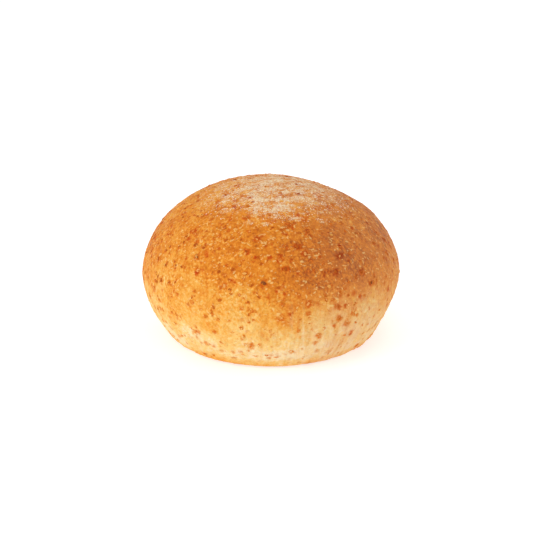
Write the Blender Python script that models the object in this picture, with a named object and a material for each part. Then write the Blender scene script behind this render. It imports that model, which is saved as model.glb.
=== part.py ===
"""Brown soft roll: a round wheat roll with bran flakes baked into its crust.

Units are metres and +Z is up. The origin is on the plane that the roll stands on, under the
middle of its bounding box. The roll is one solid: a turned, slightly leaning and uneven body
with the larger bran flakes fused to its crust.
"""

import math
import random

import bmesh
import bpy
from mathutils import Matrix, Vector

# Driving dimensions of the body
DIAMETER = 0.095
HEIGHT = 0.0569
GIRTH_HEIGHT = 0.384 * HEIGHT  # where the roll is widest
BASE_RADIUS = 0.393 * DIAMETER  # of the flat underside, before its edge is rounded
BASE_ROUND = 0.0020
LEAN = 0.0006  # how far the crown has slid towards -X, over the whole height
FLANK_POWER = 1.75  # an ellipse has 2; less makes the tucked-in flank straighter

# Unevenness of hand-rounded dough: each is (grain size, full depth, noise detail)
SWELLS = (0.040, 0.0012, 0)
LUMPS = (0.014, 0.0004, 1)
EVEN_BELOW = 0.008  # the unevenness fades out over this height above the base

# Soft hollows where the dough gave way: each is (middle, reach, depth)
CROWN_HOLLOW = ((0.020, 0.014, 0.052), 0.024, 0.0008)
FLANK_HOLLOW = ((0.040, -0.009, 0.012), 0.018, 0.0013)

# Mesh density of the body
TURNS = 84
FLANK_STEPS = 9
DOME_STEPS = 15
ROUND_STEPS = 3
MERGE_DISTANCE = 1e-6

# Bran flakes that stand out of the crust
FLAKE_COUNT = 190
FLAKE_LENGTH = (0.0015, 0.0028)
FLAKE_WIDTH_SHARE = (0.5, 0.85)
FLAKE_THICKNESS = (0.0007, 0.0011)
FLAKE_PROUD_SHARE = (0.25, 0.5)  # of the thickness, above the crust
FLAKE_TILT = math.radians(7)
FLAKE_SIDES = 6
FLAKE_TOP_SHARE = 0.72  # a flake's upper face is smaller than its foot
FLAKE_RAGGED = 0.22
FLAKES_FROM = 0.97  # sine of the highest flake's elevation, seen from the girth's middle
FLAKES_TO = -0.46  # and of the lowest's
FLAKE_RISE_SPREAD = (0.1, 0.9)  # where a flake lies in its own band of height
FLAKE_TURN_SPREAD = 0.25  # radians that a flake strays from its even place
FLAKE_SEED = 29
GOLDEN_ANGLE = math.pi * (3 - math.sqrt(5))

CRUST_COLOUR = (0.62, 0.27, 0.06, 1.0)
CRUST_ROUGHNESS = 0.6
CRISP_ANGLE = math.radians(40)  # edges sharper than this aren't smoothed


def clear_scene():
    """Starts from an empty scene."""
    for old in list(bpy.data.objects):
        bpy.data.objects.remove(old)


def crust_material():
    """Baked wheat crust: golden brown, dull to satin."""
    material = bpy.data.materials.new("crust")
    material.use_nodes = True
    shader = material.node_tree.nodes["Principled BSDF"]
    shader.inputs["Base Color"].default_value = CRUST_COLOUR
    shader.inputs["Roughness"].default_value = CRUST_ROUGHNESS
    shader.inputs["Metallic"].default_value = 0.0
    return material


def profile_points():
    """The roll's half section in XZ, from the base's edge over the girth to the crown."""
    radius = DIAMETER / 2
    tuck = (1 - (BASE_RADIUS / radius) ** FLANK_POWER) ** (1 / FLANK_POWER)
    flank_depth = GIRTH_HEIGHT / tuck
    base_angle = math.asin(tuck ** (FLANK_POWER / 2))
    points = []
    for step in range(FLANK_STEPS):
        angle = base_angle * (1 - step / FLANK_STEPS)
        x = radius * math.cos(angle) ** (2 / FLANK_POWER)
        z = GIRTH_HEIGHT - flank_depth * math.sin(angle) ** (2 / FLANK_POWER)
        points.append(Vector((x, 0, z)))
    for step in range(DOME_STEPS):
        angle = math.pi / 2 * step / DOME_STEPS
        z = GIRTH_HEIGHT + (HEIGHT - GIRTH_HEIGHT) * math.sin(angle)
        points.append(Vector((radius * math.cos(angle), 0, z)))
    points.append(Vector((0, 0, HEIGHT)))
    return points


def turned_body():
    """The half section spun about +Z, with a flat base whose edge is rounded."""
    bm = bmesh.new()
    verts = [bm.verts.new(point) for point in profile_points()]
    edges = [bm.edges.new(pair) for pair in zip(verts, verts[1:])]
    bmesh.ops.spin(bm, geom=verts + edges, axis=(0, 0, 1), cent=(0, 0, 0), angle=2 * math.pi, steps=TURNS)
    bmesh.ops.remove_doubles(bm, verts=bm.verts, dist=MERGE_DISTANCE)
    rim = [edge for edge in bm.edges if edge.is_boundary]
    bmesh.ops.contextual_create(bm, geom=rim)
    bmesh.ops.bevel(bm, geom=rim, offset=BASE_ROUND, segments=ROUND_STEPS, profile=0.5, affect="EDGES")
    bmesh.ops.recalc_face_normals(bm, faces=bm.faces)
    mesh = bpy.data.meshes.new("roll")
    bm.to_mesh(mesh)
    bm.free()
    roll = bpy.data.objects.new("roll", mesh)
    bpy.context.scene.collection.objects.link(roll)
    return roll


def lean_body(roll):
    """Slides each level sideways in proportion to its height, so that the girth stays centred."""
    for vertex in roll.data.vertices:
        vertex.co.x -= LEAN * (vertex.co.z - GIRTH_HEIGHT) / HEIGHT


def eased(share):
    """A smooth step from 0 to 1 as the share goes from 0 to 1."""
    share = min(max(share, 0), 1)
    return share * share * (3 - 2 * share)


def press_hollow(roll, middle, reach, depth):
    """Pushes a shallow round hollow into the crust, deepest at its middle, and leaves the base flat."""
    pushed = []
    for vertex in roll.data.vertices:
        near = eased(1 - (vertex.co - Vector(middle)).length / reach)
        pushed.append(vertex.co - vertex.normal * depth * near * eased(vertex.co.z / EVEN_BELOW))
    for vertex, place in zip(roll.data.vertices, pushed):
        vertex.co = place


def weigh_crust(roll):
    """A vertex group that is full on the crust and fades to nothing on the base."""
    group = roll.vertex_groups.new(name="crust")
    for vertex in roll.data.vertices:
        group.add([vertex.index], eased(vertex.co.z / EVEN_BELOW), "REPLACE")


def make_uneven(roll, name, grain, depth, detail):
    """Pushes the crust in and out by a soft noise with the given grain size."""
    texture = bpy.data.textures.new(name, "CLOUDS")
    texture.noise_scale = grain
    texture.noise_depth = detail
    modifier = roll.modifiers.new(name, "DISPLACE")
    modifier.texture = texture
    modifier.texture_coords = "LOCAL"
    modifier.strength = depth
    modifier.mid_level = 0.5
    modifier.vertex_group = "crust"


def apply_modifiers(roll):
    """Keeps the mesh as its modifiers leave it."""
    graph = bpy.context.evaluated_depsgraph_get()
    shaped = bpy.data.meshes.new_from_object(roll.evaluated_get(graph))
    roll.modifiers.clear()
    roll.data = shaped


def centre_body(roll):
    """Puts the middle of the bounding box over the origin."""
    across = [[vertex.co[axis] for vertex in roll.data.vertices] for axis in (0, 1)]
    middle = [(min(values) + max(values)) / 2 for values in across]
    roll.data.transform(Matrix.Translation((-middle[0], -middle[1], 0)))


def flake_mesh(rng):
    """One bran flake: a ragged six-sided chip, lying in XY, with sloping sides."""
    length = rng.uniform(*FLAKE_LENGTH)
    width = length * rng.uniform(*FLAKE_WIDTH_SHARE)
    thickness = rng.uniform(*FLAKE_THICKNESS)
    bm = bmesh.new()
    bmesh.ops.create_cone(
        bm, cap_ends=True, segments=FLAKE_SIDES, radius1=0.5, radius2=0.5 * FLAKE_TOP_SHARE, depth=1
    )
    for vertex in bm.verts:
        vertex.co.x *= length * rng.uniform(1 - FLAKE_RAGGED, 1)
        vertex.co.y *= width * rng.uniform(1 - FLAKE_RAGGED, 1)
        vertex.co.z *= thickness
    mesh = bpy.data.meshes.new("bran_flake")
    bm.to_mesh(mesh)
    bm.free()
    return mesh, thickness


def flake_directions(rng):
    """Directions from the girth's middle, spread evenly over the crust by the golden angle."""
    for number in range(FLAKE_COUNT):
        share = (number + rng.uniform(*FLAKE_RISE_SPREAD)) / FLAKE_COUNT
        rise = FLAKES_FROM + (FLAKES_TO - FLAKES_FROM) * share
        turn = GOLDEN_ANGLE * number + rng.uniform(-FLAKE_TURN_SPREAD, FLAKE_TURN_SPREAD)
        level = math.sqrt(1 - rise * rise)
        yield Vector((level * math.cos(turn), level * math.sin(turn), rise))


def scatter_flakes(roll):
    """Lays the bran flakes into the crust, as a collection of their own."""
    rng = random.Random(FLAKE_SEED)
    bran = bpy.data.collections.new("bran")
    bpy.context.scene.collection.children.link(bran)
    for direction in flake_directions(rng):
        mesh, thickness = flake_mesh(rng)
        _, place, normal, _ = roll.ray_cast(Vector((0, 0, GIRTH_HEIGHT)), direction)
        sink = thickness * (0.5 - rng.uniform(*FLAKE_PROUD_SHARE))
        lie = normal.to_track_quat("Z", "Y").to_matrix().to_4x4()
        twist = Matrix.Rotation(rng.uniform(0, 2 * math.pi), 4, "Z")
        tilt = Matrix.Rotation(rng.uniform(-FLAKE_TILT, FLAKE_TILT), 4, "X")
        flake = bpy.data.objects.new("bran_flake", mesh)
        flake.matrix_world = Matrix.Translation(place - normal * sink) @ lie @ twist @ tilt
        bran.objects.link(flake)
    return bran


def fuse_flakes(roll, bran):
    """Joins body and flakes into one solid, and removes the loose flakes."""
    union = roll.modifiers.new("fuse_bran", "BOOLEAN")
    union.operation = "UNION"
    union.operand_type = "COLLECTION"
    union.collection = bran
    union.solver = "EXACT"
    apply_modifiers(roll)
    for flake in list(bran.objects):
        bpy.data.objects.remove(flake)
    bpy.data.collections.remove(bran)


def finish_surface(roll):
    """Smooth crust with crisp flake edges, and its material."""
    roll.data.shade_smooth()
    roll.data.set_sharp_from_angle(angle=CRISP_ANGLE)
    roll.data.materials.clear()
    roll.data.materials.append(crust_material())


def main():
    """Builds the roll."""
    clear_scene()
    roll = turned_body()
    lean_body(roll)
    press_hollow(roll, *CROWN_HOLLOW)
    press_hollow(roll, *FLANK_HOLLOW)
    weigh_crust(roll)
    make_uneven(roll, "swells", *SWELLS)
    make_uneven(roll, "lumps", *LUMPS)
    apply_modifiers(roll)
    centre_body(roll)
    fuse_flakes(roll, scatter_flakes(roll))
    finish_surface(roll)


main()
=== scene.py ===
"""Looks of a brown soft roll: browned wheat crust, bran flakes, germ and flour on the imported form.

Units are metres, +Z is up, and -Y faces the camera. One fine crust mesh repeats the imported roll's
form and adds its low relief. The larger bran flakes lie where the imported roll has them. Smaller
flakes, germ and flour are strewn over the crust by seeded rules.
"""

import logging
import math
import random
from collections.abc import Callable, Iterator, Sequence
from contextlib import contextmanager
from dataclasses import dataclass, field
from enum import Enum
from functools import cached_property, reduce

import bpy
import numpy as np
from mathutils import Matrix, Vector, noise
from mathutils.kdtree import KDTree


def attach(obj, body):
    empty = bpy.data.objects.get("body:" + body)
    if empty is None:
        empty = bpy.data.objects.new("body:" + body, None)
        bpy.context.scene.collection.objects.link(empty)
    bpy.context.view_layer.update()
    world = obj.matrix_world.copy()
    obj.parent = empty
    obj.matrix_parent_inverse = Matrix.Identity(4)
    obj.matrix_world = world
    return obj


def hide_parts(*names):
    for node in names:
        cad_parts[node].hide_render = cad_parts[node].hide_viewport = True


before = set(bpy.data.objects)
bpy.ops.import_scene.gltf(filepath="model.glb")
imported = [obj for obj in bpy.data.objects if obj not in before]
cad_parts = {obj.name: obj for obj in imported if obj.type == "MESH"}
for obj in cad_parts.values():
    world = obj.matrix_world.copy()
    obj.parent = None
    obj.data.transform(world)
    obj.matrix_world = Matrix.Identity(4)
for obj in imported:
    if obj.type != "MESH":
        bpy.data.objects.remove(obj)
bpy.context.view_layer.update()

LOG = logging.getLogger("soft_roll")
MM = 0.001
GOLDEN_ANGLE = math.pi * (3 - math.sqrt(5))
BASE_LEVEL = MM / 100  # only the base is lower than this
UPWARD = 0.9  # how much of a normal points up on a face that looks up
CRISP_ANGLE = math.radians(50)  # edges of a chip sharper than this aren't smoothed
CHIP_RADIUS = 0.5
CORE_DEPTH = 0.35  # how far in from a chip's outline its core starts

Place = tuple[float, float, float]
Span = tuple[float, float]  # a range, or where something starts and where it is full
Colour = tuple[float, float, float, float]
Amount = "Strand | float"  # a shader socket's value, or a plain number

EVERYWHERE: Span = (-1000.0, -999.0)  # a span that every place is beyond


def eased(share: np.ndarray) -> np.ndarray:
    """A smooth step from 0 to 1 as each share goes from 0 to 1."""
    share = np.clip(share, 0, 1)
    return share * share * (3 - 2 * share)


def rising(values: np.ndarray, span: Span, least: float = 0.0) -> np.ndarray:
    """A smooth step over a span of values.

    Args:
        values: The values.
        span: Where the step starts and where it is full, which may be the lower value.
        least: What it starts from.

    Returns:
        For each value, from the least to 1.
    """
    start, full = span
    return least + (1 - least) * eased((values - start) / (full - start))


def deselect_all() -> None:
    """Leaves nothing selected, so that an operator acts only on what is picked next."""
    bpy.ops.object.select_all(action="DESELECT")


def placed(name: str, data: bpy.types.ID | None) -> bpy.types.Object:
    """Puts a new object into the scene.

    Args:
        name: Its name.
        data: Its mesh, light or camera, or nothing.

    Returns:
        The object.
    """
    piece = bpy.data.objects.new(name, data)
    bpy.context.scene.collection.objects.link(piece)
    return piece


def apply_modifier(piece: bpy.types.Object, name: str, kind: str, **settings: object) -> None:
    """Adds a modifier to a piece, and keeps the mesh as it leaves it.

    Args:
        piece: The piece.
        name: The modifier's name.
        kind: Its type.
        settings: Its properties.
    """
    modifier = piece.modifiers.new(name, kind)
    for setting, value in settings.items():
        setattr(modifier, setting, value)
    bpy.context.view_layer.update()
    bpy.context.view_layer.objects.active = piece
    bpy.ops.object.modifier_apply(modifier=modifier.name)


@contextmanager
def editing(piece: bpy.types.Object, pick: str) -> Iterator[None]:
    """Edit mode on one piece.

    Args:
        piece: The piece to edit.
        pick: What is selected there: VERT, EDGE or FACE.
    """
    bpy.context.view_layer.objects.active = piece
    bpy.ops.object.mode_set(mode="EDIT")
    bpy.ops.mesh.select_mode(type=pick)
    yield
    bpy.ops.object.mode_set(mode="OBJECT")


def select_faces(piece: bpy.types.Object, wanted: Callable[[bpy.types.MeshPolygon], bool]) -> None:
    """Selects the faces that a test picks, and nothing else.

    Args:
        piece: The piece, in object mode.
        wanted: The test of one face.
    """
    mesh = piece.data
    for part in (*mesh.vertices, *mesh.edges):
        part.select = False
    for face in mesh.polygons:
        face.select = wanted(face)


def values_of(parts: bpy.types.bpy_prop_collection, name: str, width: int = 3) -> np.ndarray:
    """A value of each of a mesh's vertices or faces.

    Args:
        parts: The vertices or faces.
        name: The value's name.
        width: How many numbers it has.

    Returns:
        The values, one row each.
    """
    flat = np.empty(len(parts) * width)
    parts.foreach_get(name, flat)
    return flat.reshape(-1, width)


def points_of(mesh: bpy.types.Mesh) -> np.ndarray:
    """The places of a mesh's vertices, one row each."""
    return values_of(mesh.vertices, "co")


def mark(mesh: bpy.types.Mesh, name: str, values: np.ndarray) -> None:
    """Keeps a number at each vertex of a mesh, for its material to read.

    Args:
        mesh: The mesh.
        name: What the number is called.
        values: The numbers.
    """
    layer = mesh.attributes.new(name, "FLOAT", "POINT")
    layer.data.foreach_set("value", values.astype(np.float32))


class Texture(Enum):
    """The kinds of relief noise, by Blender's names for them."""

    SOFT = "CLOUDS"
    CELLS = "VORONOI"
    RIDGES = "MUSGRAVE"


@dataclass(frozen=True)
class Relief:
    """One layer of unevenness, pushed in and out along the surface's normals."""

    name: str
    grain: float
    depth: float
    zone: str = "crust"
    texture: Texture = Texture.SOFT
    detail: int = 0
    tall: float = 1.0  # how many times longer its grain is in height than across

    def _noise(self) -> bpy.types.Texture:
        """The layer's texture.

        Returns:
            A new texture with the layer's grain and detail.
        """
        pattern = bpy.data.textures.new(self.name, self.texture.value)
        pattern.noise_scale = self.grain
        if self.texture is Texture.SOFT:
            pattern.noise_depth = self.detail
        if self.texture is Texture.RIDGES:
            pattern.musgrave_type = "RIDGED_MULTIFRACTAL"
            pattern.octaves = self.detail
        return pattern

    def press(self, piece: bpy.types.Object) -> None:
        """Adds the layer to a piece's mesh.

        Args:
            piece: The piece, which has a vertex group named as the layer's zone.
        """
        guide = placed(self.name + "_guide", None)
        guide.scale.z = self.tall
        apply_modifier(
            piece,
            self.name,
            "DISPLACE",
            texture=self._noise(),
            texture_coords="OBJECT",
            texture_coords_object=guide,
            strength=self.depth,
            mid_level=0.5,
            vertex_group=self.zone,
        )
        bpy.data.objects.remove(guide)


@dataclass(frozen=True)
class Hollow:
    """A shallow round hollow where the dough gave way."""

    name: str
    middle: Place
    reach: float
    depth: float

    def press(self, piece: bpy.types.Object) -> None:
        """Pushes the hollow into a piece that has a vertex group of its name.

        Args:
            piece: The piece.
        """
        zone = self.name
        apply_modifier(piece, zone, "DISPLACE", strength=-self.depth, mid_level=0, vertex_group=zone)


@dataclass(frozen=True)
class RollShape:
    """The driving sizes of the roll's form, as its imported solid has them."""

    diameter: float = 0.095
    height: float = 0.0569
    girth_share: float = 0.384
    base_share: float = 0.393
    base_round: float = 0.0020
    lean: float = 0.0006
    flank_power: float = 1.75
    even_below: float = 0.008

    @property
    def girth_height(self) -> float:
        """Where the roll is widest."""
        return self.girth_share * self.height

    def rings(self, flank_steps: int, dome_steps: int) -> Iterator[tuple[float, float]]:
        """The levels of the roll from its base to its crown.

        Args:
            flank_steps: Levels below the girth.
            dome_steps: Levels from the girth up.

        Returns:
            The radius and height of each level.
        """
        radius, power, girth = self.diameter / 2, self.flank_power, self.girth_height
        base_radius = self.base_share * self.diameter
        tuck = (1 - (base_radius / radius) ** power) ** (1 / power)
        base_angle = math.asin(tuck ** (power / 2))
        for step in range(flank_steps):
            angle = base_angle * (1 - step / flank_steps)
            drop = girth / tuck * math.sin(angle) ** (2 / power)
            yield radius * math.cos(angle) ** (2 / power), girth - drop
        for step in range(dome_steps):
            angle = math.pi / 2 * step / dome_steps
            yield radius * math.cos(angle), girth + (self.height - girth) * math.sin(angle)


@dataclass
class Crust:
    """The roll's body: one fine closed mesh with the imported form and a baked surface's low relief."""

    shape: RollShape = RollShape()
    sides: int = 180
    flank_steps: int = 14
    dome_steps: int = 40
    round_steps: int = 4
    grain: float = 0.00058  # the mesh's even spacing
    calming: float = 0.5
    calming_rounds: int = 4
    base_fade: float = 0.0016
    foot: Span = (0.026, 0.008)  # the heights over which the foot's relief comes in
    fold_way: float = math.radians(-38)  # the side where the folds are deepest
    fold_spread: Span = (-0.2, 0.9)  # the cosines from that side over which they deepen
    fold_least: float = 0.25
    flake_stain: float = 0.0026
    bit_stain: float = 0.0016
    bit_stain_share: float = 0.75
    hollows: Sequence[Hollow] = (
        Hollow("crown_hollow", (0.020, 0.014, 0.052), 0.024, 0.0008),
        Hollow("flank_hollow", (0.040, -0.009, 0.012), 0.018, 0.0013),
    )
    form: Sequence[Relief] = (
        Relief("swells", 0.040, 0.0012),
        Relief("lumps", 0.014, 0.0004, detail=1),
    )
    relief: Sequence[Relief] = (
        Relief("dimples", 0.0065, 0.00030, "skin", detail=2),
        Relief("blisters", 0.0030, -0.00016, "skin", Texture.CELLS),
        Relief("pores", 0.0013, 0.00010, "skin", detail=1),
        Relief("folds", 0.0027, 0.0008, "foot_front", detail=1, tall=6.0),
        Relief("creases", 0.0030, 0.00022, "foot", Texture.RIDGES, 2, 3.0),
    )
    piece: bpy.types.Object | None = None

    def _raise_body(self) -> bpy.types.Object:
        """A disc extruded level by level up the profile to the crown, with its foot's edge rounded.

        Returns:
            The closed body, on the frame's base plane.
        """
        levels = list(self.shape.rings(self.flank_steps, self.dome_steps))
        deselect_all()
        bpy.ops.mesh.primitive_circle_add(vertices=self.sides, radius=levels[0][0], fill_type="NGON")
        body = bpy.context.active_object
        body.name = body.data.name = "crust"
        slide = -self.shape.lean / self.shape.height
        across = -slide * self.shape.girth_height
        body.location.x = across
        bpy.ops.object.transform_apply(location=True)
        with editing(body, "FACE"):
            bpy.ops.mesh.select_all(action="SELECT")
            for (radius, low), (next_radius, high) in zip(levels, [*levels[1:], (0, self.shape.height)]):
                move = Vector((slide * (high - low), 0, high - low))
                across += move.x
                bpy.ops.mesh.extrude_region_move(TRANSFORM_OT_translate={"value": move})
                share = next_radius / radius
                bpy.ops.transform.resize(value=(share, share, 1), center_override=(across, 0, high))
            bpy.ops.mesh.merge(type="CENTER")
            bpy.ops.mesh.select_all(action="SELECT")
            bpy.ops.mesh.normals_make_consistent(inside=False)
        select_faces(body, lambda face: face.center.z < BASE_LEVEL)
        with editing(body, "FACE"):
            bpy.ops.mesh.bevel(offset=self.shape.base_round, segments=self.round_steps, affect="EDGES")
        return body

    def _even_mesh(self, body: bpy.types.Object) -> None:
        """Lays an even quad mesh over the body, without a pole at the crown.

        Args:
            body: The body.
        """
        apply_modifier(body, "even", "REMESH", mode="VOXEL", voxel_size=self.grain, use_smooth_shade=True)
        apply_modifier(body, "calm", "SMOOTH", factor=self.calming, iterations=self.calming_rounds)

    def _zone_weights(self, points: np.ndarray) -> dict[str, np.ndarray]:
        """How strongly each named zone takes its relief.

        Args:
            points: The body's vertices.

        Returns:
            A weight for each vertex under each zone's name.
        """
        height = points[:, 2]
        above_base = rising(height, (0, self.shape.even_below))
        skin = rising(height, (0, self.base_fade))
        foot = skin * rising(height, self.foot)
        turn = np.arctan2(points[:, 1], points[:, 0])
        folded = rising(np.cos(turn - self.fold_way), self.fold_spread, self.fold_least)
        zones = {"crust": above_base, "skin": skin, "foot": foot, "foot_front": foot * folded}
        for hollow in self.hollows:
            away = np.linalg.norm(points - hollow.middle, axis=1)
            zones[hollow.name] = above_base * rising(away, (hollow.reach, 0))
        return zones

    def _mark_zones(self, body: bpy.types.Object) -> None:
        """Gives the body a vertex group for each zone.

        Args:
            body: The body.
        """
        for name, weights in self._zone_weights(points_of(body.data)).items():
            group = body.vertex_groups.new(name=name)
            for number, weight in enumerate(weights):
                group.add([number], float(weight), "REPLACE")

    def _centre(self, body: bpy.types.Object) -> None:
        """Puts the middle of the body's box over the origin.

        Args:
            body: The body.
        """
        points = points_of(body.data)
        middle = (points.min(0) + points.max(0)) / 2
        body.data.transform(Matrix.Translation((-middle[0], -middle[1], -points[:, 2].min())))

    def build(self) -> bpy.types.Object:
        """Makes the crust's mesh.

        Returns:
            The crust, with its form but not yet its fine relief.
        """
        body = self._raise_body()
        self._even_mesh(body)
        self._mark_zones(body)
        for layer in (*self.hollows, *self.form):
            layer.press(body)
        self._centre(body)
        self.piece = body
        return body

    def roughen(self) -> None:
        """Adds the fine relief of a baked crust, after the flakes have found their beds."""
        for layer in self.relief:
            layer.press(self.piece)
        self.piece.vertex_groups.clear()
        self.piece.data.shade_smooth()

    def _near(self, spots: Sequence[Vector], reach: float) -> np.ndarray:
        """How near each point of the crust is to any of some spots.

        Args:
            spots: The spots.
            reach: How far one is felt.

        Returns:
            For each point, 1 on a spot and 0 out of its reach.
        """
        tree = KDTree(len(spots))
        for number, spot in enumerate(spots):
            tree.insert(spot, number)
        tree.balance()
        away = np.array([tree.find(point)[2] for point in points_of(self.piece.data)])
        return rising(away, (reach, 0))

    def stain(self, flakes: Sequence[Vector], bits: Sequence[Vector]) -> None:
        """Marks the brown that bran bleeds into the crust round it.

        Args:
            flakes: The middles of the larger flakes.
            bits: The middles of the small ones.
        """
        near_flake, near_bit = self._near(flakes, self.flake_stain), self._near(bits, self.bit_stain)
        mark(self.piece.data, "stain", np.maximum(near_flake, self.bit_stain_share * near_bit))


class FlakeKind(Enum):
    """The kinds of bran flake, each with its share of the larger flakes."""

    RUSSET = 0.56
    DARK = 0.11
    STRAW = 0.33


@dataclass(frozen=True)
class Chip:
    """A round chip lying in XY, one unit across and one thick, that ragged flakes are cut from."""

    sides: int
    top_share: float
    soften: float = 0.0
    cup: float = 0.0  # how deep its upper face is hollowed
    rim: float = 0.14  # and how far in from its edge

    def points_and_faces(self) -> tuple[np.ndarray, list[tuple[int, ...]]]:
        """Models the chip and takes its mesh.

        Returns:
            Its vertices, one row each, and its faces as vertex numbers.
        """
        deselect_all()
        bpy.ops.mesh.primitive_cylinder_add(vertices=self.sides, radius=CHIP_RADIUS, depth=1)
        chip = bpy.context.active_object
        select_faces(chip, lambda face: face.normal.z > UPWARD)
        with editing(chip, "FACE"):
            share = self.top_share
            bpy.ops.transform.resize(value=(share, share, 1), center_override=(0, 0, 0.5))
            if self.soften:
                bpy.ops.mesh.bevel(offset=self.soften, segments=1, affect="EDGES")
            if self.cup:
                bpy.ops.mesh.inset(thickness=self.rim)
                bpy.ops.transform.translate(value=(0, 0, -self.cup))
        points = points_of(chip.data)
        faces = [tuple(face.vertices) for face in chip.data.polygons]
        mesh = chip.data
        bpy.data.objects.remove(chip)
        bpy.data.meshes.remove(mesh)
        return points, faces


def core_of(points: np.ndarray) -> np.ndarray:
    """How far inside a chip's upper face each of its vertices is, from 0 to 1."""
    inside = np.clip((CHIP_RADIUS - np.hypot(points[:, 0], points[:, 1])) / CORE_DEPTH, 0, 1)
    return np.where(points[:, 2] > 0, inside, 0)


def joined(
    name: str, copies: Sequence[np.ndarray], faces: list[tuple[int, ...]], core: np.ndarray, seed: int
) -> bpy.types.Object:
    """One piece made of many placed copies of a chip.

    Args:
        name: The piece's name.
        copies: Each copy's vertices.
        faces: The chip's faces, the same for each copy.
        core: How far inside the chip each of its vertices is.
        seed: The seed of the copies' shades.

    Returns:
        The piece, whose mesh holds where its copies lie.
    """
    step = len(core)
    every = [tuple(number + step * copy for number in face) for copy in range(len(copies)) for face in faces]
    mesh = bpy.data.meshes.new(name)
    mesh.from_pydata(np.concatenate(copies).tolist(), [], every)
    mesh.shade_smooth()
    mesh.set_sharp_from_angle(angle=CRISP_ANGLE)
    mark(mesh, "core", np.tile(core, len(copies)))
    mark(mesh, "shade", np.repeat(np.random.default_rng(seed).uniform(0, 1, len(copies)), step))
    return placed(name, mesh)


def laid(points: np.ndarray, bed: Matrix) -> np.ndarray:
    """Points moved from a chip's own frame to where it lies."""
    return points @ np.array(bed.to_3x3()).T + np.array(bed.translation)


@dataclass
class BranFlakes:
    """The larger bran flakes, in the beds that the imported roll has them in."""

    shape: RollShape = RollShape()
    count: int = 190
    length: Span = (0.0015, 0.0028)
    width_share: Span = (0.5, 0.85)
    thickness: Span = (0.0007, 0.0011)
    proud_share: Span = (0.25, 0.5)
    covered_share: float = 0.55  # how much of that shows where skin covers a flake's edge
    tilt: float = math.radians(7)
    corners: int = 6
    ragged: float = 0.22
    torn: float = 0.24
    rise: Span = (0.97, -0.46)
    rise_spread: Span = (0.1, 0.9)
    turn_spread: float = 0.25
    dark_below: float = 0.62  # the rise above which a flake drawn as a dark one is russet instead
    seed: int = 29
    chip: Chip = Chip(sides=12, top_share=0.76, cup=0.12, soften=0.1)
    tears: random.Random = field(default_factory=lambda: random.Random(31))
    middles: list[Vector] = field(default_factory=list)

    def _direction(self, number: int, rng: random.Random) -> Vector:
        """Where a flake lies, seen from the girth's middle.

        Args:
            number: The flake's number, from the crown down.
            rng: The source of its unevenness.

        Returns:
            The direction, one unit long.
        """
        share = (number + rng.uniform(*self.rise_spread)) / self.count
        rise = self.rise[0] + (self.rise[1] - self.rise[0]) * share
        turn = GOLDEN_ANGLE * number + rng.uniform(-self.turn_spread, self.turn_spread)
        level = math.sqrt(1 - rise * rise)
        return Vector((level * math.cos(turn), level * math.sin(turn), rise))

    def _cut(self, points: np.ndarray, rng: random.Random) -> tuple[np.ndarray, float]:
        """Cuts the chip to one flake's size and ragged outline.

        Args:
            points: The chip's vertices.
            rng: The source of its unevenness.

        Returns:
            The flake's vertices and its thickness.
        """
        length = rng.uniform(*self.length)
        width = length * rng.uniform(*self.width_share)
        thickness = rng.uniform(*self.thickness)
        draws = [rng.uniform(1 - self.ragged, 1) for _ in range(4 * self.corners)]
        shares = np.array(draws).reshape(self.corners, 2, 2)
        turn = np.arctan2(points[:, 0], points[:, 1]) % (2 * math.pi)
        at = np.linspace(0, 2 * math.pi, self.corners + 1)
        torn = np.array([self.tears.uniform(1 - self.torn, 1) for _ in points])
        cut = points * (length, width, thickness)
        cut[:, :2] *= torn[:, None]
        for level, here in enumerate((points[:, 2] < 0, points[:, 2] >= 0)):
            for axis in (0, 1):
                around = np.append(shares[:, level, axis], shares[0, level, axis])
                cut[here, axis] *= np.interp(turn[here], at, around)
        return cut, thickness

    def _kind(self, direction: Vector, kinds: random.Random) -> FlakeKind:
        """Draws a flake's kind.

        Args:
            direction: Where the flake lies, seen from the girth's middle.
            kinds: The source of the draw.

        Returns:
            The kind.
        """
        kind = kinds.choices(list(FlakeKind), [kind.value for kind in FlakeKind])[0]
        hidden = kind is FlakeKind.DARK and direction.z > self.dark_below
        return FlakeKind.RUSSET if hidden else kind

    def _bed(self, place: Vector, normal: Vector, depth: float, rng: random.Random) -> Matrix:
        """How a flake lies.

        Args:
            place: Where it lies.
            normal: The crust's direction there.
            depth: How far its middle lies under the crust.
            rng: The source of its unevenness.

        Returns:
            The move from its own frame to its place.
        """
        lie = normal.to_track_quat("Z", "Y").to_matrix().to_4x4()
        twist = Matrix.Rotation(rng.uniform(0, 2 * math.pi), 4, "Z")
        tilt = Matrix.Rotation(rng.uniform(-self.tilt, self.tilt), 4, "X")
        return Matrix.Translation(place - normal * depth) @ lie @ twist @ tilt

    def build(self, crust: bpy.types.Object) -> dict[FlakeKind, bpy.types.Object]:
        """Lays the flakes into the crust.

        Args:
            crust: The crust's piece, before its fine relief.

        Returns:
            One piece for each kind of flake.
        """
        rng = random.Random(self.seed)
        kinds = random.Random(self.seed + 1)
        points, faces = self.chip.points_and_faces()
        beds: dict[FlakeKind, list[np.ndarray]] = {kind: [] for kind in FlakeKind}
        for number in range(self.count):
            direction = self._direction(number, rng)
            flake, thickness = self._cut(points, rng)
            _, place, normal, _ = crust.ray_cast(Vector((0, 0, self.shape.girth_height)), direction)
            kind = self._kind(direction, kinds)
            proud = rng.uniform(*self.proud_share) * (1 if kind is FlakeKind.DARK else self.covered_share)
            bed = self._bed(place, normal, thickness * (0.5 - proud), rng)
            beds[kind].append(laid(flake, bed))
            if kind is not FlakeKind.STRAW:
                self.middles.append(place)
        core = core_of(points)
        return {
            kind: joined("bran_" + kind.name.lower(), flakes, faces, core, self.seed)
            for kind, flakes in beds.items()
        }


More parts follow.
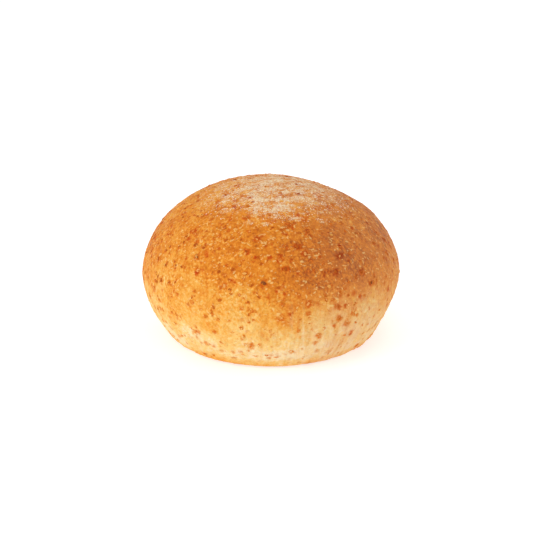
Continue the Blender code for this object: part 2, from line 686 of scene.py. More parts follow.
@dataclass
class Strewing:
    """Many small grains of one kind, strewn over the crust."""

    name: str
    count: int
    seed: int
    likely: Callable[[np.ndarray], np.ndarray]
    length: Span
    width_share: Span
    proud_share: Span
    thickness: Span = (0.0003, 0.0005)
    chip: Chip = Chip(sides=6, top_share=0.7)
    ragged: float = 0.3
    stray: float = 0.0003  # how far a grain lies from the middle of its mesh face
    places: list[Vector] = field(default_factory=list)

    def _grain(
        self, points: np.ndarray, place: Vector, normal: Vector, rng: np.random.Generator
    ) -> np.ndarray:
        """Cuts one grain from the chip and lays it down.

        Args:
            points: The chip's vertices.
            place: Where the grain lies.
            normal: The crust's direction there.
            rng: The source of its unevenness.

        Returns:
            The grain's vertices.
        """
        length = rng.uniform(*self.length)
        size = np.array((length, length * rng.uniform(*self.width_share), rng.uniform(*self.thickness)))
        torn = rng.uniform(1 - self.ragged, 1, (len(points), 1))
        lie = normal.to_track_quat("Z", "Y").to_matrix().to_4x4()
        twist = Matrix.Rotation(rng.uniform(0, 2 * math.pi), 4, "Z")
        aside = lie @ Vector((*rng.uniform(-self.stray, self.stray, 2), 0))
        sink = size[2] * (0.5 - rng.uniform(*self.proud_share))
        bed = Matrix.Translation(place + aside - normal * sink) @ lie @ twist
        return laid(points * size * torn, bed)

    def build(self, crust: bpy.types.Object) -> bpy.types.Object:
        """Strews the grains.

        Args:
            crust: The crust's piece, with its fine relief.

        Returns:
            The grains, as one piece.
        """
        rng = np.random.default_rng(self.seed)
        crust_faces = crust.data.polygons
        middles, normals = values_of(crust_faces, "center"), values_of(crust_faces, "normal")
        areas = values_of(crust_faces, "area", 1)[:, 0]
        chance = areas * self.likely(middles)
        chosen = rng.choice(len(areas), self.count, replace=False, p=chance / chance.sum())
        points, faces = self.chip.points_and_faces()
        self.places = [Vector(middles[at]) for at in chosen]
        outward = [Vector(normals[at]) for at in chosen]
        grains = [self._grain(points, place, normal, rng) for place, normal in zip(self.places, outward)]
        return joined(self.name, grains, faces, core_of(points), self.seed)


class Strand:
    """A shader socket that Python's arithmetic works on: each sum adds a Math node."""

    def __init__(self, board: "Board", socket: bpy.types.NodeSocket) -> None:
        """Wraps a socket of a board's tree."""
        self.board = board
        self.socket = socket

    def _math(self, operation: str, first: Amount, second: Amount = 0.0) -> "Strand":
        """One Math node on one or two amounts."""
        return self.board.add("Math", {"operation": operation}, {0: first, 1: second})

    def __add__(self, other: Amount) -> "Strand":
        """Self plus other."""
        return self._math("ADD", self, other)

    def __sub__(self, other: Amount) -> "Strand":
        """Self less other."""
        return self._math("SUBTRACT", self, other)

    def __mul__(self, other: Amount) -> "Strand":
        """Self times other."""
        return self._math("MULTIPLY", self, other)

    def __truediv__(self, other: Amount) -> "Strand":
        """Self over other."""
        return self._math("DIVIDE", self, other)

    def __rtruediv__(self, other: float) -> "Strand":
        """Other over self."""
        return self._math("DIVIDE", other, self)

    def __radd__(self, other: float) -> "Strand":
        """Other plus self."""
        return self._math("ADD", other, self)

    def __rsub__(self, other: float) -> "Strand":
        """Other less self."""
        return self._math("SUBTRACT", other, self)

    def __rmul__(self, other: float) -> "Strand":
        """Other times self."""
        return self._math("MULTIPLY", other, self)

    def most(self, other: Amount) -> "Strand":
        """The larger of self and other."""
        return self._math("MAXIMUM", self, other)

    def step(self, low: float, high: float) -> "Strand":
        """A smooth step from 0 at low to 1 at high, which may be the lower one.

        Args:
            low: Where the step starts.
            high: Where the step ends.

        Returns:
            The step, from 0 to 1.
        """
        settings = {"interpolation_type": "SMOOTHSTEP"}
        if low < high:
            return self.board.add("MapRange", settings, {"Value": self, "From Min": low, "From Max": high})
        return 1 - self.step(high, low)


@dataclass(frozen=True)
class Cloud:
    """Soft noise: the size of its patches in millimetres, its finer layers, their strength and its own."""

    size: float
    detail: float = 2.0
    rough: float = 0.5
    strength: float = 1.0


class Board:
    """The node tree of one material, and the one way that nodes are added to it."""

    def __init__(self, name: str) -> None:
        """Makes the material with its shader.

        Args:
            name: The material's name.
        """
        self.material = bpy.data.materials.new(name)
        self.material.use_nodes = True
        self.tree = self.material.node_tree
        self.shader = self.tree.nodes["Principled BSDF"]

    @cached_property
    def where(self) -> Strand:
        """Object coordinates in millimetres, which patterns lie on."""
        return self.place()

    @staticmethod
    def _socket(sockets: Sequence[bpy.types.NodeSocket], name: str | int) -> bpy.types.NodeSocket:
        """One of a node's sockets, by its number, its identifier or its name.

        Args:
            sockets: The node's inputs or its outputs.
            name: Which of them is wanted.

        Returns:
            The socket.
        """
        if isinstance(name, int):
            return sockets[name]
        named = [socket for socket in sockets if socket.identifier == name]
        return named[0] if named else sockets[name]

    def fill(self, node: bpy.types.Node, values: dict[str | int, object]) -> None:
        """Sets or links a node's inputs.

        Args:
            node: The node.
            values: A number, a colour or a strand for each input.
        """
        for name, value in values.items():
            socket = self._socket(node.inputs, name)
            if isinstance(value, Strand):
                self.tree.links.new(value.socket, socket)
            else:
                socket.default_value = value

    def add(
        self,
        kind: str,
        settings: dict[str, object] | None = None,
        values: dict[str | int, object] | None = None,
        out: str | int = 0,
    ) -> Strand:
        """Adds a node.

        Args:
            kind: The node's type, without the words ShaderNode.
            settings: Its properties, and a ramp's stops as pairs of place and colour.
            values: What its inputs hold.
            out: Which output is wanted.

        Returns:
            That output.
        """
        node = self.tree.nodes.new("ShaderNode" + kind)
        for name, value in (settings or {}).items():
            if name == "stops":
                self._set_stops(node.color_ramp, value)
            else:
                setattr(node, name, value)
        self.fill(node, values or {})
        return Strand(self, self._socket(node.outputs, out))

    @staticmethod
    def _set_stops(ramp: bpy.types.ColorRamp, stops: Sequence[tuple[float, Colour]]) -> None:
        """Gives a ramp its stops, as pairs of place and colour.

        Args:
            ramp: The ramp.
            stops: The pairs, in order.
        """
        while len(ramp.elements) < len(stops):
            ramp.elements.new(1.0)
        for element, (place, colour) in zip(ramp.elements, stops):
            element.position = place
            element.color = colour

    def place(self, stretch: Place = (1, 1, 1), turn: Place = (0, 0, 0)) -> Strand:
        """Object coordinates in millimetres.

        Args:
            stretch: How many times longer a pattern gets along each of its own axes.
            turn: How far the pattern is turned about each axis, in degrees.

        Returns:
            The coordinates.
        """
        where = self.add("TexCoord", out="Object")
        scale = tuple(part * MM for part in stretch)
        turned = {"Vector": where, "Rotation": tuple(math.radians(part) for part in turn), "Scale": scale}
        return self.add("Mapping", {"vector_type": "TEXTURE"}, turned)

    def noise(self, cloud: Cloud, where: Strand | None = None) -> Strand:
        """Soft noise about nought.

        Args:
            cloud: The kind of noise.
            where: Coordinates in millimetres, if not the board's own.

        Returns:
            The noise, mostly within half of the cloud's strength either way.
        """
        values = {"Scale": 1 / cloud.size, "Detail": cloud.detail, "Roughness": cloud.rough}
        return (self.add("TexNoise", None, {"Vector": where or self.where, **values}) - 0.5) * cloud.strength

    def curve(self, amount: Strand, points: Sequence[tuple[float, float]]) -> Strand:
        """An amount looked up on a line through some points.

        Args:
            amount: The amount, from 0 to 1.
            points: Pairs of amount and result, in order.

        Returns:
            The result.
        """
        stops = [(place, (height, height, height, 1)) for place, height in points]
        return self.add("ValToRGB", {"stops": stops}, {0: amount})

    def cells(self, where: Strand, apart: float, out: str = "Distance") -> Strand:
        """Cell noise.

        Args:
            where: Coordinates in millimetres.
            apart: The size of a cell in millimetres.
            out: Which output is wanted.

        Returns:
            The distance to the cell's middle in cells, or the cell's own colour.
        """
        return self.add("TexVoronoi", {"feature": "F1"}, {"Vector": where, "Scale": 1 / apart}, out)

    def blend(self, share: Amount, first: object, second: object, kind: str = "MIX") -> Strand:
        """Two colours mixed.

        Args:
            share: How much of the second there is.
            first: A colour or a strand.
            second: A colour or a strand.
            kind: The way of mixing.

        Returns:
            The mixed colour.
        """
        settings = {"data_type": "RGBA", "blend_type": kind, "clamp_factor": True}
        values = {"Factor_Float": share, "A_Color": first, "B_Color": second}
        return self.add("Mix", settings, values, "Result_Color")

    def vector(
        self, operation: str, first: object, second: object = (0, 0, 0), out: str | int = 0
    ) -> Strand:
        """One Vector Math node on one or two vectors."""
        return self.add("VectorMath", {"operation": operation}, {0: first, 1: second}, out)

    def warped(self, grain: float, reach: float) -> Strand:
        """Coordinates shifted about by noise, so that a pattern on them isn't regular.

        Args:
            grain: The size of the noise's patches in millimetres.
            reach: How far it shifts them.

        Returns:
            The shifted coordinates.
        """
        around = self.add("TexNoise", None, {"Vector": self.where, "Scale": 1 / grain}, "Color")
        shift = self.vector("SUBTRACT", around, (0.5, 0.5, 0.5))
        return self.vector("ADD", self.where, self.vector("MULTIPLY", shift, (reach, reach, reach)))

    def away(self, middle: Place) -> Strand:
        """The distance from a point, both in millimetres."""
        return self.vector("DISTANCE", self.where, middle, "Value")

    def part(self, axis: str) -> Strand:
        """One of the coordinates, X, Y or Z."""
        return self.add("SeparateXYZ", None, {0: self.where}, axis)

    def kept(self, name: str) -> Strand:
        """A number that the piece's mesh keeps at each vertex."""
        return self.add("Attribute", {"attribute_name": name}, None, "Fac")

    def bumps(self, heights: Sequence[Amount]) -> Strand:
        """A normal with bumps of the given heights in metres."""
        total = sum(heights[1:], heights[0])
        return self.add("Bump", None, {"Strength": 1.0, "Distance": 1.0, "Height": total})


@dataclass(frozen=True)
class Patch:
    """A round patch of the crust, in millimetres: its middle, how far it reaches and where it is full."""

    middle: Place
    reach: float
    full: float

    def cover(self, board: Board) -> Strand:
        """How much of the patch each place has, from 0 to 1."""
        return board.away(self.middle).step(self.reach, self.full)


@dataclass(frozen=True)
class Spots:
    """Soft red-brown spots where bran lies just under the skin, each of its own size and strength."""

    apart: float  # millimetres
    reaches: Span  # the smallest and the largest one's, as shares of that
    strength: float = 1.0
    torn_grain: float = 0.4  # their outlines' unevenness and how far it goes, also as shares
    torn_reach: float = 0.55
    worn_grain: float = 0.3
    strengths: Span = (-0.1, 0.9)
    fade: Span = (1.0, 0.25)

    def cover(self, board: Board) -> Strand:
        """How strongly each place is stained, from 0 to 1.

        Args:
            board: The board of the material.

        Returns:
            The stain.
        """
        small, large = self.reaches
        torn = board.warped(self.apart * self.torn_grain, self.apart * self.torn_reach)
        own = board.cells(torn, self.apart, "Color")
        reach = board.add("SeparateColor", None, {0: own}, "Red") * (large - small) + small
        strength = board.add("SeparateColor", None, {0: own}, "Green").step(*self.strengths)
        worn = board.noise(Cloud(self.apart * self.worn_grain)) + 1
        return (board.cells(torn, self.apart) / reach).step(*self.fade) * strength * worn * self.strength


@dataclass(frozen=True)
class Bake:
    """How a wheat crust browns in the oven, and the fine pale and dark marks in its skin."""

    height: float = 56.7  # millimetres, as all lengths here
    girth_radius: float = 47.5
    colours: Sequence[tuple[float, Colour]] = (
        (0.0, (0.92, 0.71, 0.41, 1)),
        (0.2, (0.89, 0.56, 0.18, 1)),
        (0.4, (0.845, 0.385, 0.060, 1)),
        (0.6, (0.75, 0.24, 0.018, 1)),
        (0.78, (0.62, 0.165, 0.010, 1)),
        (1.0, (0.40, 0.085, 0.008, 1)),
    )
    browned: Sequence[tuple[float, float]] = (
        (0.0, 0.03),
        (0.14, 0.10),
        (0.3, 0.32),
        (0.45, 0.51),
        (0.65, 0.71),
        (0.8, 0.72),
        (1.0, 0.66),
    )  # pairs of height, as a share of the roll's, and browning
    sides: Sequence[tuple[Span, Span, float]] = (
        ((18, -38), (0.25, 0.6), -0.15),
        # browner at the left rim: partly taking back the paler left, partly painted shade against the key
        # lamp's sheen there
        ((-37, -47), (0.34, 0.5), 0.14),
        ((16, 40), EVERYWHERE, 0.08),
        (EVERYWHERE, (0.11, 0.01), 0.35),
    )  # the left, its rim, the right and the base's edge: across, in height, and the browning, which at the rim is partly painted shade
    patches: Sequence[tuple[Place, float, float]] = (
        ((20, -36, 37), 22, 0.14),
        ((27, -34, 15), 27, -0.07),
        ((3, -43, 10), 15, -0.10),
        ((-27, -38, 12), 9, -0.14),
        ((-29, -36, 24), 10, 0.05),
        ((-10, -44, 25), 13, -0.10),
        ((5, -46, 23), 9, 0.04),
        ((-25, -37, 6), 12, 0.08),
        ((28, -37, 8), 12, 0.10),
        ((33, -33, 18), 12, -0.10),
        ((16, -43, 24), 10, -0.10),
        ((-26, -28, 33), 17, -0.07),
        ((-3, -42, 31), 9, -0.07),
        ((-4, -35, 39), 16, 0.03),
        ((-17, -20, 47), 14, 0.03),
    )  # where the oven browned more or less: the middle, the reach and the browning
    patch_core: float = 0.2  # the share of its reach over which a patch is full
    drift: Cloud = Cloud(16, 2, 0.5, 0.16)  # of the browning's heights
    mottles: Sequence[Cloud] = (Cloud(7, 3, 0.5, 0.55), Cloud(2.4, 2, 0.6, 0.5))
    speckle: Cloud = Cloud(0.9, 2, 0.6)
    speckled: Cloud = Cloud(9, 2, 0.5, 2.0)  # how much of that there is
    speckled_mean: float = 0.9
    varied: float = 0.8  # how much more the colour varies where the crust is brown
    varied_least: float = 0.35
    blotch: Cloud = Cloud(6, 3)
    blotch_edge: Span = (-0.07, 0.05)
    blotch_level: Span = (0.55, 0.3)  # they come in below the dome
    blotch_depth: float = 0.09
    dusk: Colour = (0.78, 0.49, 0.29, 1)  # a duller brown, for a dull patch low on the right and, over all the right side, for painted shade
    dusky: Patch = Patch((27, -34, 15), 30, 4)
    dusky_level: Span = (0.6, 0.25)
    dusky_cloud: Cloud = Cloud(4, 3, 0.5, 2.0)
    dusky_mean: float = 0.5
    dusky_share: float = 0.7
    shaded_side: Span = (-5, 38)  # and a little all over the right, as painted shade
    shaded_side_share: float = 0.11
    stretched: Patch = Patch((17, -41, 14), 30, 6)
    creased: Patch = Patch((42, -16, 12), 18, 6)
    streak: Cloud = Cloud(2.1, 3, 0.6)
    streak_height: float = 6  # how many times longer a streak is in height than across
    streak_warp: float = 5  # the size of its unevenness
    streak_warp_reach: float = 1.2
    streak_level: Span = (0.66, 0.2)
    streak_least: float = 0.2  # how much of them shows away from both patches
    torn: Colour = (0.93, 0.73, 0.45, 1)  # a ridge's, where the skin has given way
    torn_edge: Span = (0.0, 0.25)
    untorn: Patch = Patch((42, -16, 12), 8, 22)  # it starts inside and is full outside
    torn_share: float = 0.5
    groove: Colour = (0.90, 0.66, 0.44, 1)  # times the crust's own colour
    groove_edge: Span = (0.0, -0.16)
    groove_share: float = 0.8
    pale: Colour = (0.92, 0.62, 0.23, 1)  # the short strokes'
    pale_level: Span = (0.05, 0.45)
    pale_share: float = 0.62
    stroke: Cloud = Cloud(1.2, 1)
    stroke_ways: Sequence[tuple[Place, Place, Span]] = (
        ((2.1, 0.9, 0.9), (12, 10, 25), (0.15, 0.24)),
        ((0.9, 0.9, 2.1), (15, 35, 0), (0.16, 0.25)),
        ((0.9, 0.9, 2.1), (-20, -40, 10), (0.17, 0.26)),
    )  # lying, standing and leaning: the stretch, the turn in degrees and the edge
    bran_stain: Colour = (0.77, 0.33, 0.08, 1)  # times the crust's own colour
    stain_level: Span = (0.0, 0.4)
    stain_shares: Span = (0.7, 1.0)  # at the foot and above it
    large_spots: Spots = Spots(3.2, (0.18, 0.5))
    small_spots: Spots = Spots(1.6, (0.12, 0.32), strength=0.7)

    def level(self, board: Board) -> Strand:
        """How high each place is, as a share of the roll's height."""
        return board.part("Z") / self.height

    def _unevenness(self, board: Board, browned: Strand) -> Strand:
        """The browning's mottles, speckle and blotches.

        Args:
            board: The board of the material.
            browned: How brown each height is.

        Returns:
            How much browner or paler each place is.
        """
        large, small = (board.noise(cloud) for cloud in self.mottles)
        speckled = board.noise(self.speckle) * (board.noise(self.speckled) + self.speckled_mean)
        blotched = board.noise(self.blotch).step(*self.blotch_edge) - 0.5
        blotched = blotched * self.level(board).step(*self.blotch_level) * self.blotch_depth
        return (large + small + speckled) * (browned * self.varied + self.varied_least) + blotched

    def _browning(self, board: Board) -> Strand:
        """How brown each place is, from 0 to 1, without its fine marks.

        Args:
            board: The board of the material.

        Returns:
            The browning.
        """
        across, level = board.part("X"), self.level(board)
        browned = board.curve(level + board.noise(self.drift), self.browned)
        total = browned + self._unevenness(board, browned)
        # the left rim's share of this is partly painted shade
        for sideways, heights, browning in self.sides:
            total = total + across.step(*sideways) * level.step(*heights) * browning
        for middle, reach, browning in self.patches:
            total = total + Patch(middle, reach, reach * self.patch_core).cover(board) * browning
        return total

    def _up_the_flank(self, board: Board, where: Strand, tall: float) -> Strand:
        """Coordinates on which a pattern is drawn out up the flank.

        Args:
            board: The board of the material.
            where: Coordinates in millimetres.
            tall: How many times longer the pattern gets in height.

        Returns:
            The coordinates, in millimetres.
        """
        outward = board.vector("NORMALIZE", board.vector("MULTIPLY", where, (1, 1, 0)))
        round_it = board.vector("MULTIPLY", outward, (self.girth_radius, self.girth_radius, 0))
        height = board.vector("MULTIPLY", where, (0, 0, 1 / tall))
        return board.vector("ADD", round_it, height)

    def _streaks(self, board: Board) -> Strand:
        """Streaks up the foot where the skin has stretched, from -0.5 in a groove to 0.5 on a ridge.

        Args:
            board: The board of the material.

        Returns:
            The streaks.
        """
        torn = board.warped(self.streak_warp, self.streak_warp_reach)
        along = self._up_the_flank(board, torn, self.streak_height)
        near = self.stretched.cover(board).most(self.creased.cover(board))
        low = self.level(board).step(*self.streak_level)
        return board.noise(self.streak, along) * low * (near * (1 - self.streak_least) + self.streak_least)

    def strokes(self, board: Board) -> Strand:
        """Short pale lines lying every way, where the skin has blistered and torn.

        Args:
            board: The board of the material.

        Returns:
            The lines, from 0 to 1.
        """
        lines = (
            board.noise(self.stroke, board.place(stretch, turn)).step(*edge)
            for stretch, turn, edge in self.stroke_ways
        )
        return reduce(Strand.most, lines)

    def paint(self, board: Board) -> Strand:
        """The crust's colour.

        Args:
            board: The board of the material.

        Returns:
            The colour.
        """
        level = self.level(board)
        colour = board.add("ValToRGB", {"stops": self.colours}, {0: self._browning(board)})
        clouded = board.noise(self.dusky_cloud) + self.dusky_mean
        dusky = self.dusky.cover(board) * clouded * level.step(*self.dusky_level) * self.dusky_share
        # painted shade: a little of the duller brown over all the right side, which the key lamp leaves in
        # shade
        dusky = dusky + board.part("X").step(*self.shaded_side) * self.shaded_side_share
        colour = board.blend(dusky, colour, self.dusk)
        streaks = self._streaks(board)
        torn = streaks.step(*self.torn_edge) * self.untorn.cover(board)
        colour = board.blend(torn * self.torn_share, colour, self.torn)
        grooved = streaks.step(*self.groove_edge) * self.groove_share
        colour = board.blend(grooved, colour, self.groove, "MULTIPLY")
        pale = self.strokes(board) * level.step(*self.pale_level)
        colour = board.blend(pale * self.pale_share, colour, self.pale)
        stained = self.large_spots.cover(board).most(self.small_spots.cover(board))
        return self.stained(board, stained, colour, self.bran_stain, self.stain_shares)

    def stained(
        self, board: Board, amount: Strand, colour: Strand, stain: Colour, shares: Span
    ) -> Strand:
        """The crust's colour with a stain in it, which is weaker at the foot.

        Args:
            board: The board of the material.
            amount: How strongly each place is stained.
            colour: The crust's colour.
            stain: What the stain multiplies it by.
            shares: How much of the stain there is at the foot and above it.

        Returns:
            The stained colour.
        """
        low, high = shares
        share = self.level(board).step(*self.stain_level) * (high - low) + low
        return board.blend(amount * share, colour, stain, "MULTIPLY")


@dataclass(frozen=True)
class CrustFinish:
    """The crust's skin: baked, stained round its bran, dusted on its crown and tray-browned below."""

    bake: Bake = Bake()
    stain: Colour = (0.82, 0.40, 0.11, 1)  # times the crust's own colour
    stain_cloud: Cloud = Cloud(1.2, 3, 0.6, 2.0)
    stain_edge: Span = (0.2, 0.9)
    stain_shares: Span = (0.7, 0.9)  # at the foot and above it
    flour: Colour = (0.90, 0.74, 0.50, 1)
    specks: Cloud = Cloud(0.8, 2, 0.8, 5.0)
    specks_stretch: Place = (1.7, 1.0, 1.0)
    specks_turn: Place = (0, 0, 25)
    specks_edge: Span = (0.5, 1.0)
    specks_share: float = 0.5
    dust_gain: float = 1.1
    dust_edge: Span = (0.02, 0.2)
    dust_share: float = 0.2
    base: Colour = (0.56, 0.24, 0.07, 1)
    base_drift: Cloud = Cloud(5, 2, 0.5, 0.008)
    base_edge: Span = (0.012, 0.002)
    base_cloud: Cloud = Cloud(7, 3)
    base_cloud_edge: Span = (-0.1, 0.25)
    base_pale_share: float = 0.5
    pits: Sequence[Cloud] = (Cloud(0.8, 2, 0.6, 0.00052), Cloud(2.0, 2, 0.5, 0.00100))  # metres deep
    torn_height: float = 0.00006
    flour_height: float = 0.00006
    roughness: float = 0.58
    gloss: Cloud = Cloud(3, 2, 0.5, 0.14)
    flour_roughness: float = 0.25

    def _floured(self, board: Board, dust: Strand) -> Strand:
        """Where flour has caked, from 0 to 1, where it has been dusted."""
        specks = board.noise(self.specks, board.place(self.specks_stretch, self.specks_turn))
        return (dust * self.dust_gain + specks).step(*self.specks_edge) * dust.step(*self.dust_edge)

    def _underside(self, board: Board, colour: Strand) -> Strand:
        """The colour with the tray-browned base in it.

        Args:
            board: The board of the material.
            colour: The crust's colour above it.

        Returns:
            The whole crust's colour.
        """
        drift = board.noise(self.base_drift)
        under = (self.bake.level(board) + drift).step(*self.base_edge)
        pale = board.noise(self.base_cloud).step(*self.base_cloud_edge) * self.base_pale_share
        return board.blend(under, colour, board.blend(pale, self.base, self.bake.pale))

    def material(self) -> bpy.types.Material:
        """The crust's material.

        Returns:
            The material, for the crust's piece.
        """
        board = Board("crust")
        colour = self.bake.paint(board)
        stained = (board.kept("stain") + board.noise(self.stain_cloud)).step(*self.stain_edge)
        colour = self.bake.stained(board, stained, colour, self.stain, self.stain_shares)
        dust = board.kept("flour")
        floured = self._floured(board, dust)
        colour = board.blend(floured * self.specks_share + dust * self.dust_share, colour, self.flour)
        heights = [board.noise(pit) for pit in self.pits]
        heights += [self.bake.strokes(board) * self.torn_height, floured * self.flour_height]
        dullness = floured * self.flour_roughness + self.roughness
        values = {
            "Base Color": self._underside(board, colour),
            "Roughness": board.noise(self.gloss) + dullness,
            "Normal": board.bumps(heights),
            "Subsurface Weight": 0.1,
            "Subsurface Radius": (1.0, 0.45, 0.2),
            "Subsurface Scale": 0.0012,
            "Specular IOR Level": 0.1,
        }
        board.fill(board.shader, values)
        return board.material


@dataclass(frozen=True)
class BranFinish:
    """Dry bran that shows through torn skin: its colour varies from flake to flake."""

    name: str
    light: Colour
    dark: Colour
    bare: float = 1.0  # how much of its colour shows at its middle
    bake: Bake = Bake()
    shades: Cloud = Cloud(0.6, 2, 0.5, 0.9)
    lightness: float = 0.15
    tender: Colour = (0.77, 0.21, 0.015, 1)  # low on the flank, where the oven browns bran less
    tender_level: Span = (0.6, 0.1)
    tender_share: float = 0.85
    heart_glint: Colour = (0.86, 0.46, 0.14, 1)  # the starchy inner side that a broken flake shows, and also a painted highlight in the flake's cup
    heart_glint_cloud: Cloud = Cloud(0.7, 2, 0.5, 1.4)
    heart_glint_edge: Span = (0.45, 0.65)
    heart_glint_shades: Span = (0.4, 0.5)
    heart_glint_share: float = 0.7
    skin: Cloud = Cloud(0.8, 3, 0.6, 3.2)
    skin_edge: Span = (0.0, 0.5)
    roughness: float = 0.75
    gloss: Cloud = Cloud(0.6, 2, 0.5, 0.2)
    pits: Cloud = Cloud(0.6, 2, 0.6, 0.0003)

    def material(self) -> bpy.types.Material:
        """The bran's material.

        Returns:
            The material, for flakes or bits of this kind.
        """
        board = Board("bran_" + self.name)
        shade, core = board.kept("shade"), board.kept("core")
        bran = board.blend(board.noise(self.shades) + shade + self.lightness, self.dark, self.light)
        tender = self.bake.level(board).step(*self.tender_level)
        bran = board.blend(tender * self.tender_share, bran, self.tender)
        # painted highlight: the pale middle of some flakes stands partly for light caught in the cup, partly
        # for the starchy inside
        heart_glint = (core + board.noise(self.heart_glint_cloud)).step(*self.heart_glint_edge)
        bran = board.blend(heart_glint * shade.step(*self.heart_glint_shades) * self.heart_glint_share, bran, self.heart_glint)
        shown = (core + board.noise(self.skin)).step(*self.skin_edge)
        values = {
            "Base Color": board.blend(shown * self.bare, self.bake.paint(board), bran),
            "Roughness": board.noise(self.gloss) + self.roughness,
            "Normal": board.bumps([board.noise(self.pits)]),
            "Specular IOR Level": 0.08,
        }
        board.fill(board.shader, values)
        return board.material


@dataclass(frozen=True)
class FlourFinish:
    """Baked-on flour: dry, off-white grains."""

    light: Colour = (0.94, 0.82, 0.62, 1)
    dark: Colour = (0.85, 0.62, 0.33, 1)

    def material(self) -> bpy.types.Material:
        """The flour's material.

        Returns:
            The material, for the flour's grains.
        """
        board = Board("flour")
        colour = board.blend(board.kept("shade"), self.dark, self.light)
        values = {"Base Color": colour, "Roughness": 0.9}
        board.fill(board.shader, values)
        return board.material


@dataclass(frozen=True)
class FloorFinish:
    """A plain, nearly white table."""

    colour: Colour = (0.6, 0.6, 0.6, 1.0)
    glow: float = 0.6  # a table lit from below, that throws white light up at the roll's foot

    def material(self) -> bpy.types.Material:
        """The floor's material.

        Returns:
            The material, for the table.
        """
        board = Board("table")
        values = {
            "Base Color": self.colour,
            "Roughness": 0.7,
            "Emission Color": (1, 1, 1, 1),
            "Emission Strength": self.glow,
        }
        board.fill(board.shader, values)
        return board.material


@dataclass(frozen=True)
class SoftBox:
    """A square lamp: its name, where it hangs, the length of its side and its power in watts."""

    name: str
    place: Place
    size: float
    watts: float


@dataclass
class Studio:
    """The plain table, the soft lights and the camera."""

    elevation: float = 21.2
    distance: float = 0.556
    lens: float = 100.0
    sensor: float = 36.0
    aim: Place = (-0.0004, 0.0, 0.0225)
    floor_size: float = 12.0
    sky: float = 0.62
    lamps: Sequence[SoftBox] = (
        SoftBox("key", (-0.7, -0.45, 0.45), 0.5, 3.5),
        SoftBox("fill", (0.7, -0.5, 0.5), 0.6, 1.0),
        SoftBox("top", (0.15, 0.15, 0.9), 0.6, 1.3),
    )

    def _hang(self, box: SoftBox) -> None:
        """Hangs a soft box that faces the roll.

        Args:
            box: The soft box.
        """
        light = bpy.data.lights.new(box.name, "AREA")
        light.size = box.size
        light.energy = box.watts
        lamp = placed(box.name, light)
        lamp.location = box.place
        lamp.rotation_euler = (Vector(self.aim) - Vector(box.place)).to_track_quat("-Z", "Y").to_euler()

    def _floor(self) -> None:
        """The table that the roll stands on."""
        deselect_all()
        bpy.ops.mesh.primitive_plane_add(size=self.floor_size)
        floor = bpy.context.active_object
        floor.name = "table"
        floor.data.materials.append(FloorFinish().material())

    def _sky(self) -> None:
        """Even white light from all round."""
        world = bpy.data.worlds.new("white_room")
        world.use_nodes = True
        light = world.node_tree.nodes["Background"].inputs
        light["Color"].default_value = (1, 1, 1, 1)
        light["Strength"].default_value = self.sky
        bpy.context.scene.world = world

    def _camera(self) -> None:
        """The photograph's point of view."""
        lens = bpy.data.cameras.new("camera")
        lens.lens = self.lens
        lens.sensor_width = self.sensor
        camera = placed("camera", lens)
        high = math.radians(self.elevation)
        back = Vector((0, -math.cos(high), math.sin(high)))
        camera.location = Vector(self.aim) + back * self.distance
        camera.rotation_euler = (-back).to_track_quat("-Z", "Y").to_euler()
        bpy.context.scene.camera = camera

    def build(self) -> None:
        """Sets up the studio."""
        self._floor()
        self._sky()
        for box in self.lamps:
            self._hang(box)
        self._camera()
        bpy.context.scene.view_settings.view_transform = "Standard"


@dataclass(frozen=True)
class Dab:
    """A dab of flour, in millimetres."""

    middle: Place
    reach: float
    strength: float = 0.65
    firmness: float = 1.6  # how soon it is full, from its edge inwards
    breadth: float = 1.5  # how many times further it reaches across than the other ways

    def cover(self, points: np.ndarray) -> np.ndarray:
        """How floury each place on the crust is, from 0 to the dab's strength."""
        away = np.linalg.norm((points / MM - self.middle) / (self.breadth, 1, 1), axis=1)
        return self.strength * eased(self.firmness * (1 - away / self.reach))


@dataclass(frozen=True)
class Dusting:
    """The flour: on the crown, towards the viewer's side, in short streaks."""

    dabs: Sequence[Dab] = (
        Dab((2, -3, 55.5), 26, strength=0.95, firmness=1.2, breadth=4 / 3),
        Dab((0, -16, 54.5), 14, strength=1.0, firmness=1.4, breadth=1.0),
        Dab((8.1, -24.7, 51.1), 2.2),
        Dab((-7.4, -26.6, 50.4), 1.7),
        Dab((-1.8, -28.0, 50.1), 1.4),
        Dab((17.3, -22.7, 49.7), 1.7),
        Dab((-16.5, -12.0, 53.7), 2.4),
        Dab((-15.0, -18.0, 52.0), 3.0),
        Dab((14.0, -16.0, 53.2), 1.8),
    )
    streak: Place = (0.0050, 0.0028, 0.0028)
    streak_turn: float = math.radians(9)
    streak_layers: tuple[float, float, int] = (0.5, 2.1, 4)  # how strong, how fine and how many
    streak_edge: Span = (-1 / 3, 1 / 3)
    between: float = 0.3  # how much of the flour lies between the streaks

    def cover(self, points: np.ndarray) -> np.ndarray:
        """How floury each place on the crust is, from 0 to 1.

        Args:
            points: Places on the crust, one row each.

        Returns:
            The flour at each.
        """
        near = reduce(np.maximum, [dab.cover(points) for dab in self.dabs])
        close = np.nonzero(near > 0)[0]
        turned = points[close] @ np.array(Matrix.Rotation(self.streak_turn, 3, "Z"))
        streaks = [noise.fractal(Vector(place), *self.streak_layers) for place in turned / self.streak]
        near[close] *= rising(np.array(streaks), self.streak_edge, self.between)
        return near


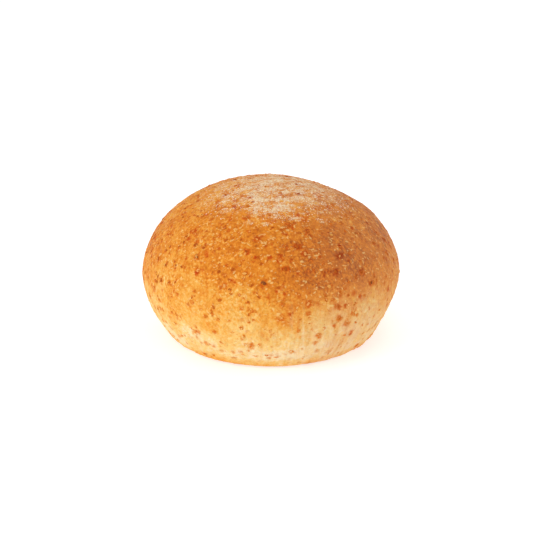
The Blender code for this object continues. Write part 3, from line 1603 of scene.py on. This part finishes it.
@dataclass(frozen=True)
class Spread:
    """How likely bran or germ is over the crust: more to the left, and none at the base's edge."""

    foot_share: float  # how likely it is on the foot, against the flank above it
    rise: Span  # the heights over which it becomes likelier
    right_share: float
    leftward: Span
    crown_share: float = 1.0
    crown: Span = (0.054, 0.050)
    edge: Span = (0.0024, 0.0044)

    def cover(self, points: np.ndarray) -> np.ndarray:
        """How likely it is at each place on the crust, from 0 to 1.

        Args:
            points: Places on the crust, one row each.

        Returns:
            The likelihood at each.
        """
        across, height = points[:, 0], points[:, 2]
        upward = rising(height, self.edge) * rising(height, self.rise, self.foot_share)
        crowned = rising(height, self.crown, self.crown_share)
        return upward * crowned * rising(across, self.leftward, self.right_share)


def finish_piece(piece: bpy.types.Object, material: bpy.types.Material) -> None:
    """Gives a piece its material, its body and its slot, and reports it.

    Args:
        piece: The finished piece.
        material: What it is made of.
    """
    piece.data.materials.clear()
    piece.data.materials.append(material)
    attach(piece, "root")
    LOG.info("%s: %d faces", piece.name, len(piece.data.polygons))


def strewings(dusting: Dusting) -> dict[str, Strewing]:
    """The small things that are strewn over the crust.

    Args:
        dusting: Where flour lies.

    Returns:
        Each of them, under the name of its finish.
    """
    bran = Spread(
        foot_share=0.4, rise=(0.008, 0.028), right_share=0.65, leftward=(0.020, -0.015), crown_share=0.25
    )
    germ = Spread(foot_share=0.12, rise=(0.012, 0.028), right_share=0.10, leftward=(0.015, -0.025))
    return {
        "russet": Strewing(
            name="bran_bits",
            count=560,
            seed=41,
            likely=bran.cover,
            length=(0.0013, 0.0028),
            width_share=(0.4, 0.85),
            proud_share=(0.15, 0.35),
        ),
        "straw": Strewing(
            name="germ_bits",
            count=820,
            seed=42,
            likely=germ.cover,
            length=(0.0010, 0.0022),
            width_share=(0.22, 0.5),
            proud_share=(0.1, 0.3),
        ),
        "flour": Strewing(
            name="flour_grains",
            count=2800,
            seed=43,
            likely=dusting.cover,
            length=(0.0004, 0.0013),
            width_share=(0.25, 0.6),
            proud_share=(0.3, 0.6),
            thickness=(0.00008, 0.00016),
            chip=Chip(sides=5, top_share=0.5),
        ),
    }


def finishes() -> dict[str, bpy.types.Material]:
    """The materials of the flakes, bits and grains.

    Returns:
        Each of them, under its name.
    """
    brans = (
        BranFinish("russet", light=(0.64, 0.145, 0.012, 1), dark=(0.34, 0.058, 0.006, 1)),
        BranFinish("dark", light=(0.34, 0.09, 0.018, 1), dark=(0.16, 0.042, 0.014, 1)),
        BranFinish("straw", light=(0.92, 0.59, 0.20, 1), dark=(0.82, 0.41, 0.08, 1), bare=0.7),
    )
    return {finish.name: finish.material() for finish in brans} | {"flour": FlourFinish().material()}


def main() -> None:
    """Builds the roll piece by piece, and the studio round it."""
    logging.basicConfig(level=logging.INFO)
    deselect_all()
    crust = Crust()
    body = crust.build()
    bran = BranFlakes()
    flakes = bran.build(body)
    crust.roughen()
    dusting = Dusting()
    mark(body.data, "flour", dusting.cover(points_of(body.data)))
    strewn = strewings(dusting)
    bits = {name: strewing.build(body) for name, strewing in strewn.items()}
    crust.stain(bran.middles, strewn["russet"].places)
    materials = finishes()
    finish_piece(body, CrustFinish().material())
    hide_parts("roll")
    for kind, piece in flakes.items():
        finish_piece(piece, materials[kind.name.lower()])
    for name, piece in bits.items():
        finish_piece(piece, materials[name])
    Studio().build()


if __name__ == "__main__":
    main()
